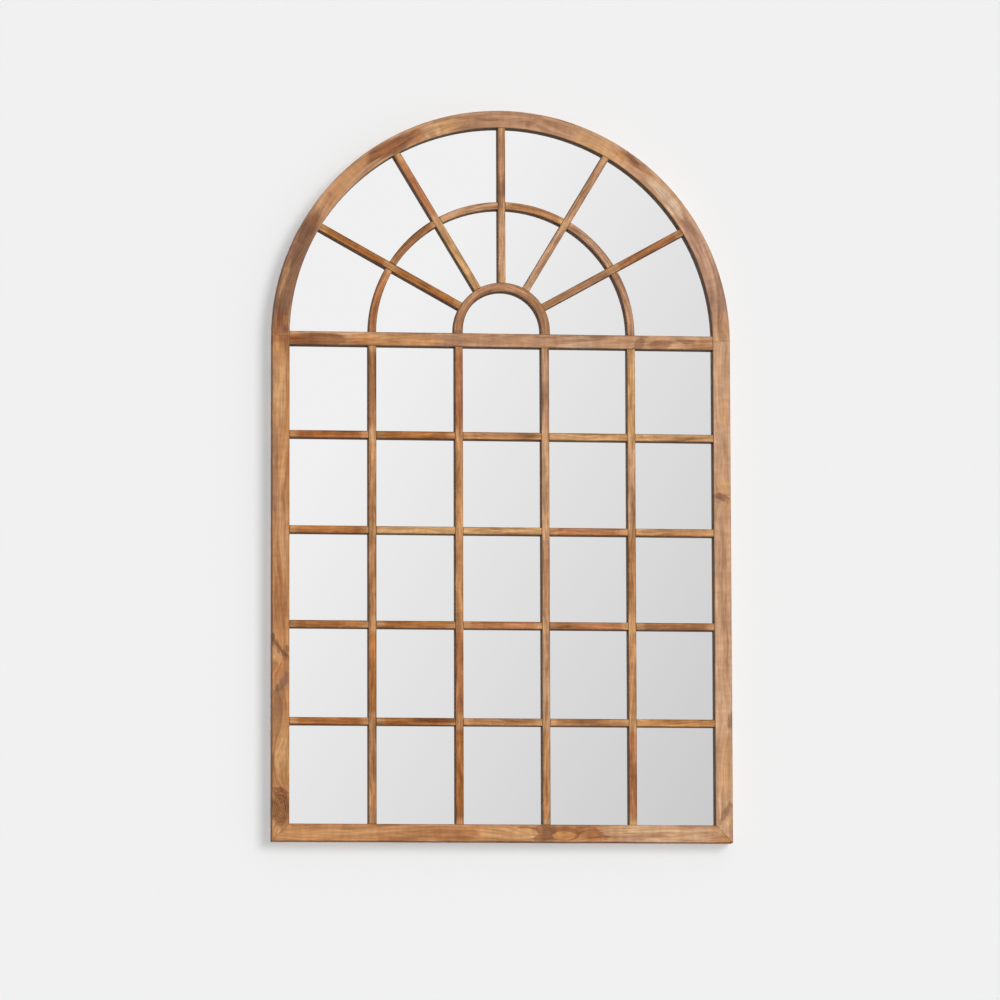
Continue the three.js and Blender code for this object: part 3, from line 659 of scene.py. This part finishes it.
# patches: x, z, half length and half width in mm, direction in degrees, tone, strength
# lobes: the same with crisp edges
# knots: x, z, half length, half width, direction, rings
# swirls: x, z, half length, half width, direction, how far they push the grain, in mm
stileLeft = {
    **wide, "grain": 90, "tone": "honey", "seed": 3, "contrast": 0.9, "mitred": True,
    "swirls": [(-483, -961, 34, 17, 90, 22), (-485, -640, 24, 12, 90, 16), (-474, -760, 60, 20, 90, 12),
               (-488, -857, 40, 12, 90, -10), (-479, -40, 110, 12, 90, 12)],
    "patches": [
        (-481, -957, 44, 24, 90, "chestnut", 0.99),
        (-484, 20, 150, 16, 90, "tan", 0.85),
        (-481, -30, 95, 11, 90, "golden", 0.90),
        (-478, -350, 130, 14, 90, "tan", 0.50),
        (-481, 40, 48, 22, 90, "honey", 0.85),
        (-481, 62, 32, 22, 90, "russet", 0.99),
        (-492, 50, 36, 5, 90, "copper", 0.70),
        (-470, 50, 30, 6, 88, "chestnut", 0.75),
        (-481, 60, 16, 24, 90, "mahogany", 0.45),
        (-494, -226, 125, 6, 90, "walnut", 0.80),
        (-480, -500, 110, 12, 91, "russet", 0.50),
        (-484, -655, 30, 14, 90, "russet", 0.60),
        (-480, -620, 30, 9, 131, "chestnut", 0.90),
        (-483, -637, 13, 8, 90, "golden", 0.60),
        (-475, -690, 34, 9, 54, "walnut", 0.99),
        (-485, -748, 52, 12, 82, "walnut", 0.55),
        (-478, -850, 62, 15, 90, "golden", 0.80),
        (-495, -880, 40, 4, 88, "chestnut", 0.60),
        (-473, -892, 16, 7, 80, "copper", 0.75),
        (-487, -1003, 9, 7, 60, "golden", 0.55),
    ],
    "lobes": [
        (-497, -593, 10, 4, 90, "plum", 0.90),
        (-485, -612, 12, 2.5, 128, "plum", 0.80),
        (-472, -626, 12, 4, 136, "plum", 0.85),
        (-466, -616, 8, 3.5, 95, "plum", 0.75),
        (-494, -623, 14, 6, 86, "golden", 0.95),
        (-484, -916, 14, 3, 176, "plum", 0.70),
        (-473, -922, 12, 4, 158, "mahogany", 0.90),
        (-468, -944, 28, 4, 96, "mahogany", 0.75),
    ],
    "knots": [(-480, -959, 38, 19, 90, 5)],
}
stileRight = {
    **wide, "grain": 90, "tone": "sand", "seed": 11, "contrast": 0.6, "mitred": True,
    "swirls": [(482, -278, 30, 14, 90, 14), (482, -780, 70, 14, 90, 10)],
    "patches": [
        (484, 30, 50, 17, 90, "fawn", 0.30),
        (484, -95, 30, 8, 92, "golden", 0.70),
        (484, -255, 17, 13, 90, "golden", 0.85),
        (478, -410, 125, 8, 90, "fawn", 0.40),
        (488, -600, 100, 7, 89, "fawn", 0.35),
        (493, -767, 19, 6, 90, "walnut", 0.75),
        (482, -864, 78, 14, 90, "golden", 0.60),
        (484, -962, 28, 7, 58, "walnut", 0.80),
        (491, -985, 16, 6, 62, "cream", 0.60),
    ],
    "lobes": [
        (480, -280, 17, 8, 165, "walnut", 0.90),
        (487, -275, 9, 2.5, 10, "amber", 0.85),
        (491, -295, 13, 7, 90, "golden", 0.95),
    ],
}
bottomRail = {
    **wide, "grain": 0, "tone": "honey", "seed": 19, "mitred": True,
    "swirls": [(50, -1012, 60, 14, 0, 12), (133, -1014, 34, 13, 0, 16), (-103, -1006, 60, 14, 0, -8)],
    "patches": [
        (-337, -1007, 72, 7, 0, "golden", 0.60),
        (-103, -1009, 58, 14, 2, "russet", 0.80),
        (345, -1009, 140, 24, 0, "sand", 1),
        (330, -1006, 110, 9, -3, "cream", 0.70),
        (182, -1006, 36, 16, 155, "russet", 0.90),
        (208, -1009, 23, 5, -39, "mahogany", 0.55),
        (14, -1009, 66, 13, 0, "golden", 0.85),
        (98, -1009, 34, 18, 80, "chestnut", 0.90),
        (472, -1000, 9, 4, 60, "cream", 0.60),
    ],
    "lobes": [
        (90, -1002, 22, 9, -12, "plum", 0.60),
        (86, -1018, 24, 8, 6, "plum", 0.55),
        (51, -1008, 29, 14, 0, "mahogany", 0.75),
        (46, -1010, 29, 12, 0, "golden", 0.95),
        (134, -1010, 33, 16, -4, "mahogany", 0.75),
        (132, -1014, 26, 10, 0, "copper", 0.95),
    ],
}
transomBoard = {
    **wide, "grain": 0, "face": heightOf("transom"), "tone": "fawn", "second": "tan", "seed": 23,
    "patches": [
        (-305, 53, 36, 15, 0, "amber", 0.80),
        (-398, 54, 72, 16, 2, "chestnut", 1),
        (-426, 54, 28, 15, 0, "mahogany", 0.65),
        (-452, 54, 20, 15, 0, "toffee", 0.75),
        (-380, 63, 34, 5, 0, "mahogany", 0.75),
        (-228, 53, 108, 15, 0, "copper", 0.85),
        (-236, 53, 36, 15, 0, "golden", 0.55),
        (20, 53, 92, 15, 0, "fawn", 0.95),
        (34, 53, 16, 13, 0, "hazel", 0.60),
        (162, 53, 40, 15, 0, "sand", 0.85),
        (172, 53, 34, 14, 0, "blond", 0.32),
        (240, 53, 48, 15, 0, "fawn", 0.70),
        (299, 53, 17, 11, 60, "walnut", 0.80),
        (347, 53, 28, 11, 0, "mahogany", 0.70),
        (416, 53, 20, 13, 0, "hazel", 0.85),
        (402, 62, 26, 5, -3, "plum", 0.75),
        (447, 51, 28, 11, 0, "honey", 0.70),
    ],
}
archBoard = {  # matched boards, so the figure runs on round the arch; a direction is a lean off its curve
    **wide, "radius": archRadius - frameFace / 2, "centre": (0, springZ),
    "tone": "tan", "seed": 31, "contrast": 0.8,
    "swirls": [(-240, 486, 60, 14, 0, 12), (290, 448, 40, 14, 0, 12), (480, 90, 30, 12, 0, 12),
               (-426, 270, 70, 14, 0, 10), (60, 536, 40, 12, 0, -10)],
    "patches": [
        (456, 209, 155, 30, 0, "mauve", 0.95),
        (-5, 541, 100, 30, 0, "fawn", 0.90),
        (-456, 209, 150, 30, 0, "walnut", 1.00),
        (418, 290, 48, 10, 0, "walnut", 0.55),
        (456, 193, 48, 8, 0, "sand", 0.60),
        (481, 172, 36, 6, 0, "walnut", 0.35),
        (476, 127, 50, 16, 0, "mauve", 0.60),
        (478, 96, 24, 13, 0, "copper", 0.55),
        (489, 104, 10, 4, 20, "mahogany", 0.45),
        (212, 484, 62, 14, 0, "golden", 0.60),
        (300, 425, 34, 6, 0, "fawn", 0.85),
        (283, 458, 34, 9, 6, "mahogany", 0.56),
        (308, 440, 34, 7, -9, "mahogany", 0.50),
        (290, 457, 20, 4, 4, "plum", 0.50),
        (362, 374, 62, 15, 0, "blond", 0.90),
        (-125, 522, 42, 14, 0, "golden", 0.90),
        (-148, 517, 18, 13, 0, "cream", 0.55),
        (-74, 537, 15, 3, -48, "amber", 0.40),
        (66, 534, 17, 7, -38, "walnut", 0.60),
        (118, 521, 46, 16, 0, "fawn", 0.90),
        (138, 538, 25, 3, 0, "walnut", 0.80),
        (-316, 435, 90, 18, 0, "honey", 0.75),
        (-370, 366, 34, 15, 0, "honey", 0.75),
        (-377, 370, 9, 6, 10, "walnut", 0.50),
        (-188, 502, 20, 16, 0, "russet", 0.95),
        (-245, 474, 60, 17, 3, "mahogany", 0.99),
        (-218, 499, 38, 6, 2, "plum", 0.60),
        (-250, 470, 44, 5, 0, "amber", 0.80),
        (-156, 506, 13, 7, 22, "walnut", 0.45),
        (-426, 292, 36, 11, 0, "plum", 0.70),
        (-407, 315, 17, 12, 0, "chestnut", 0.70),
        (-446, 237, 46, 6, -2, "plum", 0.22),
        (-473, 188, 46, 6, 2, "golden", 0.55),
        (-477, 122, 24, 7, 0, "plum", 0.50),
        (-480, 82, 36, 18, 0, "mahogany", 0.90),
        (-493, 80, 30, 4, 0, "copper", 0.45),
        (-470, 97, 12, 5, 4, "honey", 0.65),
        (-480, 62, 13, 24, 0, "russet", 0.60),
        (480, 86, 44, 18, 0, "sand", 0.80),
        (480, 62, 16, 24, 0, "cream", 0.28),
    ],
    "lobes": [(262, 463, 15, 6, -8, "copper", 0.90)],
}
uprightTones = (  # for each upright, its bays from the top
    ("chestnut", "honey", "honey", "amber", "honey"),
    ("russet", "honey", "honey", "russet", "amber"),
    ("fawn", "tan", "hazel", "tan", "honey"),
    ("golden", "tan", "honey", "honey", "russet"),
)
crossTones = (  # for each row from the bottom, its bars from the left
    ("toffee", "amber", "honey", "honey", "copper"),
    ("amber", "amber", "russet", "russet", "chestnut"),
    ("amber", "golden", "golden", "russet", "honey"),
    ("toffee", "amber", "honey", "golden", "golden"),
)
spokeTones = (  # inside the middle arc and outside it
    ("hazel", "russet"), ("sand", "tan"), ("tan", "hazel"), ("golden", "russet"), ("amber", "amber"),
)
middleArcTones = ("fawn", "fawn", "honey", "tan", "chestnut", "russet")


def alongSpoke(angle, radius, drop):  # how far out a spoke meets an arc whose centre lies lower by a drop
    return sqrt(radius ** 2 - (drop * cos(angle)) ** 2) - drop * sin(angle)


def uprightBoard(n):
    node = f"upright_bar_{n + 1}"
    first, step = seeds["upright"]
    a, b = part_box(node)
    x, middle = middleOf(node)
    face = b.x - a.x
    edges = [b.z, *crossingHeights, a.z]
    patches = []
    for top, foot, tone in zip(edges, edges[1:], uprightTones[n]):
        if tone != uprightTones[n][0]:
            oval = (x, (top + foot) / 2, (top - foot) / 2, face)
            patches.append((*[length / mm for length in oval], 90, tone, 1))
    return {"grain": 90, "face": face, "tone": uprightTones[n][0], "seed": first + step * n,
            "contrast": barContrast, "joints": [z - middle for z in edges], "patches": patches}


def crossBoard(row, column):
    byRow, byColumn = seeds["cross"]
    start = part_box(f"upright_bar_{column - 1}" if column > 1 else "stile_left")[1].x
    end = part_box(f"upright_bar_{column}" if column < columns else "stile_right")[0].x
    half = (end - start) / 2
    return {"grain": 0, "face": barFace, "tone": crossTones[row - 1][column - 1],
            "seed": byRow * row + byColumn * column, "contrast": barContrast,
            "joints": [-half, half], "seam": 0}


def spokeBoard(n):
    first, step = seeds["spoke"]
    angle = radians(spokeAngles[n])
    inner, outer = spokeTones[n]
    hubEnd = alongSpoke(angle, hubRadius + hubFace / 2, spokeRise - hubLegHeight)
    crossing = alongSpoke(angle, middleRadius, spokeRise + middleArcSink)
    archEnd = alongSpoke(angle, archRadius - frameFace, spokeRise + transomTop - springZ)

    def at(reach):
        return reach * cos(angle), transomTop + spokeRise + reach * sin(angle)

    x, z = at((crossing + archEnd) / 2)
    half = (archEnd - crossing) / 2
    patch = (x / mm, z / mm, half / mm, barFace / mm, spokeAngles[n], outer, 1)
    return {"grain": spokeAngles[n], "face": barFace, "tone": inner, "seed": first + step * n,
            "contrast": barContrast, "centre": at(crossing),
            "joints": [hubEnd - crossing, 0, archEnd - crossing], "patches": [patch]}


def middleArcBoard(n):
    first, step = seeds["middleArc"]
    drop = spokeRise + middleArcSink
    crossings = [a + asin(drop * cos(a) / middleRadius) for a in map(radians, spokeAngles)]
    return {"radius": middleRadius, "face": barFace, "tone": middleArcTones[n], "seed": first + step * n,
            "contrast": barContrast, "centre": (0, transomTop - middleArcSink),
            "joints": [middleRadius * c for c in crossings], "seam": barFace / 2}


def listBoards():
    boards = {"stile_left": stileLeft, "stile_right": stileRight, "bottom_rail": bottomRail,
              "transom": transomBoard}
    for n in range(archSegments):
        boards[f"arch_segment_{n + 1}"] = archBoard
    for side, seed in seeds["splines"].items():
        boards[f"mitre_spline_{side}"] = {"grain": 45, "face": frameFace, "tone": "tan", "seed": seed}
    for n in range(len(uprightTones)):
        boards[f"upright_bar_{n + 1}"] = uprightBoard(n)
    for row in range(1, rows + 1):
        for column in range(1, columns + 1):
            boards[f"cross_bar_{row}_{column}"] = crossBoard(row, column)
    for n in range(len(spokeTones)):
        boards[f"spoke_{n + 1}"] = spokeBoard(n)
    for n in range(len(middleArcTones)):
        boards[f"middle_arc_{n + 1}"] = middleArcBoard(n)
    boards["hub_arc"] = {"radius": hubRadius, "face": hubFace, "tone": "hazel", "seed": seeds["hubArc"],
                         "centre": (0, transomTop + hubLegHeight)}
    return {node: {"centre": middleOf(node), **board} for node, board in boards.items()}


# mirror, back board, steel and rubber

mirror = {
    "tint": (0.93, 0.93, 0.93, 1),
    "haze": ((2.2, 2.2, 2.2), 3),  # swings to the metre, detail
    "hazeFrom": (0.45, 0.75),
    "roughness": (0.0, 0.02),
}


def makeMirror():
    made, tree = newMaterial("silveredGlass")
    source = addNode(tree, "ShaderNodeTexCoord").outputs["Object"]
    haze = stretchedNoise(tree, source, *mirror["haze"]).outputs["Fac"]
    roughness = remap(tree, haze, *mirror["hazeFrom"], *mirror["roughness"])
    finishMaterial(tree, mirror["tint"], roughness, Metallic=1.0)
    return made


backing = {
    "dark": (118, 88, 60),
    "light": (150, 116, 82),
    "layers": (  # clouds, fibres and chips: swings to the metre, detail, roughness, weight
        ((6, 6, 6), 3, 0.5, 0.14),
        ((95, 95, 70), 5, 0.75, 0.50),
        ((420, 420, 700), 3, 0.7, 0.36),
    ),
    "toneSpan": (0.38, 0.62),
    "roughness": (0.72, 0.88),
    "bump": (0.4, 0.3 * mm),  # strength, depth
    "sheen": 0.25,
}


def makeBacking():
    made, tree = newMaterial("hardboard")
    source = addNode(tree, "ShaderNodeTexCoord").outputs["Object"]
    mix = 0.0
    for *layer, weight in backing["layers"]:
        noise = stretchedNoise(tree, source, *layer).outputs["Fac"]
        mix = calc(tree, "MULTIPLY_ADD", noise, weight, mix)
    factor = remap(tree, mix, *backing["toneSpan"])
    colour = mixColour(tree, factor, linear(backing["dark"]), linear(backing["light"]))
    roughness = swing(tree, noise, *backing["roughness"])  # from the chips, the last of the layers
    finishMaterial(tree, colour, roughness, noise, backing["bump"], Specular_IOR_Level=backing["sheen"])
    return made


zinc = {
    "dull": (0.50, 0.51, 0.53, 1),
    "bright": (0.68, 0.69, 0.70, 1),
    "toneSpan": (0.35, 0.65),
    "spangle": (260, 260, 260),  # swings to the metre
    "scratches": (60, 900, 2600),
    "roughness": (0.26, 0.42),
    "bump": (0.15, 0.05 * mm),
}


def makeSteel():
    made, tree = newMaterial("zincPlatedSteel")
    source = addNode(tree, "ShaderNodeTexCoord").outputs["Object"]
    spangle = stretchedNoise(tree, source, zinc["spangle"]).outputs["Fac"]
    scratches = stretchedNoise(tree, source, zinc["scratches"]).outputs["Fac"]
    colour = mixColour(tree, remap(tree, spangle, *zinc["toneSpan"]), zinc["dull"], zinc["bright"])
    roughness = swing(tree, scratches, *zinc["roughness"])
    finishMaterial(tree, colour, roughness, scratches, zinc["bump"], Metallic=1.0)
    return made


rubberPad = {
    "dark": (0.018, 0.018, 0.019, 1),
    "worn": (0.034, 0.034, 0.035, 1),
    "toneSpan": (0.35, 0.65),
    "speckle": (900, 900, 900),
    "roughness": (0.78, 0.92),
    "bump": (0.3, 0.1 * mm),
}


def makeRubber():
    made, tree = newMaterial("blackRubber")
    source = addNode(tree, "ShaderNodeTexCoord").outputs["Object"]
    speckle = stretchedNoise(tree, source, rubberPad["speckle"]).outputs["Fac"]
    factor = remap(tree, speckle, *rubberPad["toneSpan"])
    colour = mixColour(tree, factor, rubberPad["dark"], rubberPad["worn"])
    roughness = swing(tree, speckle, *rubberPad["roughness"])
    finishMaterial(tree, colour, roughness, speckle, rubberPad["bump"])
    return made


faces = {"smoothBelow": 35, "weight": 90}  # degrees between faces that shade as one, and their weighting


def dress(node, material):
    piece = nodes[node]
    mesh = piece.data
    mesh.materials.clear()
    mesh.materials.append(material)
    mesh.polygons.foreach_set("use_smooth", [True] * len(mesh.polygons))
    mesh.set_sharp_from_angle(angle=radians(faces["smoothBelow"]))
    weighted = piece.modifiers.new("evenFaces", "WEIGHTED_NORMAL")
    weighted.keep_sharp = True
    weighted.weight = faces["weight"]


def dressFrame():
    boards = listBoards()
    for node, board in boards.items():
        dress(node, makeTimber(node, board))
    print("timber on", len(boards), "pieces")
    dress("mirror_glass", makeMirror())
    dress("back_board", makeBacking())
    steel = makeSteel()
    rubber = makeRubber()
    for side in ("left", "right"):
        for node in (f"hanger_strap_{side}", f"hanger_ring_{side}", f"hanger_screw_{side}_upper",
                     f"hanger_screw_{side}_lower"):
            dress(node, steel)
        dress(f"wall_bumper_{side}", rubber)
    print("mirror, backing and hardware finished")
    return steel


# screws round the backing board

boardScrews = {
    "headRadius": 2.6 * mm,
    "headHeight": 1.5 * mm,
    "rim": 0.35,  # of the height
    "domeAngles": (0, 18, 36, 54, 72),  # of the points from the rim to the crown
    "recessLength": 3.4 * mm,
    "recessWidth": 0.7 * mm,
    "recessDepth": 0.9 * mm,
    "inset": 3.0 * mm,  # from the board's edge
    "sideCount": 7,
    "bottomCount": 6,
    "archCount": 9,
    "steps": 20,
    "turnStep": 37,  # degrees from one screw's recess to the next one's
    "smoothBelow": 40,
}


def lathe(profile, steps):  # points in radius and height, turned about Z
    made = bmesh.new()
    rings = []
    for radius, height in profile:
        if radius == 0:
            rings.append([made.verts.new((0, 0, height))] * steps)
            continue
        turns = [2 * pi * n / steps for n in range(steps)]
        rings.append([made.verts.new((radius * cos(t), radius * sin(t), height)) for t in turns])
    for below, above in zip(rings, rings[1:]):
        for n in range(steps):
            corners = []
            for vert in (below[n], below[(n + 1) % steps], above[(n + 1) % steps], above[n]):
                if vert not in corners:
                    corners.append(vert)
            made.faces.new(corners)
    bmesh.ops.recalc_face_normals(made, faces=made.faces)
    mesh = bpy.data.meshes.new("turned")
    made.to_mesh(mesh)
    made.free()
    return mesh


def makeScrewHead():
    s = boardScrews
    dome = [(s["headRadius"] * cos(t), s["headHeight"] * (s["rim"] + (1 - s["rim"]) * sin(t)))
            for t in map(radians, s["domeAngles"])]
    profile = [(0, 0), (s["headRadius"], 0), *dome, (0, s["headHeight"])]
    head = bpy.data.objects.new("screwHead", lathe(profile, s["steps"]))
    bpy.context.scene.collection.objects.link(head)
    cutters = []
    for x, y in ((s["recessLength"], s["recessWidth"]), (s["recessWidth"], s["recessLength"])):
        cutter = bmesh.new()
        bmesh.ops.create_cube(cutter, size=1)
        bmesh.ops.scale(cutter, vec=(x, y, 2 * s["recessDepth"]), verts=cutter.verts)
        bmesh.ops.translate(cutter, vec=(0, 0, s["headHeight"]), verts=cutter.verts)
        mesh = bpy.data.meshes.new("recess")
        cutter.to_mesh(mesh)
        cutter.free()
        block = bpy.data.objects.new("recess", mesh)
        bpy.context.scene.collection.objects.link(block)
        cut = head.modifiers.new("recess", "BOOLEAN")
        cut.object = block
        cut.operation = "DIFFERENCE"
        cutters.append(block)
    graph = bpy.context.evaluated_depsgraph_get()
    cutMesh = bpy.data.meshes.new_from_object(head.evaluated_get(graph))
    for used in (head, *cutters):
        bpy.data.objects.remove(used)
    return cutMesh


def screwPlaces():
    s = boardScrews
    boardLow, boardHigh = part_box("back_board")
    side = boardHigh.x - s["inset"]
    bottom = boardLow.z + s["inset"]
    places = []
    for n in range(s["sideCount"]):
        z = bottom + (springZ - bottom) * n / s["sideCount"]
        places += [(-side, z), (side, z)]
    for n in range(1, s["bottomCount"]):
        places.append((-side + 2 * side * n / s["bottomCount"], bottom))
    for n in range(s["archCount"]):
        turn = pi * n / (s["archCount"] - 1)
        places.append((side * cos(turn), springZ + side * sin(turn)))
    return places, boardHigh.y


def makeBoardScrews(steel):
    head = makeScrewHead()
    places, y = screwPlaces()
    backwards = Matrix.Rotation(radians(-90), 4, "X")
    joined = bmesh.new()
    for n, (x, z) in enumerate(places):
        copy = head.copy()
        turn = Matrix.Rotation(radians(boardScrews["turnStep"] * n), 4, "Y") @ backwards
        copy.transform(Matrix.Translation((x, y, z)) @ turn)
        joined.from_mesh(copy)
        bpy.data.meshes.remove(copy)
    mesh = bpy.data.meshes.new("board_screws")
    joined.to_mesh(mesh)
    joined.free()
    mesh.materials.append(steel)
    mesh.polygons.foreach_set("use_smooth", [True] * len(mesh.polygons))
    mesh.set_sharp_from_angle(angle=radians(boardScrews["smoothBelow"]))
    made = bpy.data.objects.new("board_screws", mesh)
    bpy.context.scene.collection.objects.link(made)
    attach(made, "mirror")
    print("screws round the backing:", len(places))


makeCamera()
makeStudio()
steel = dressFrame()
makeBoardScrews(steel)
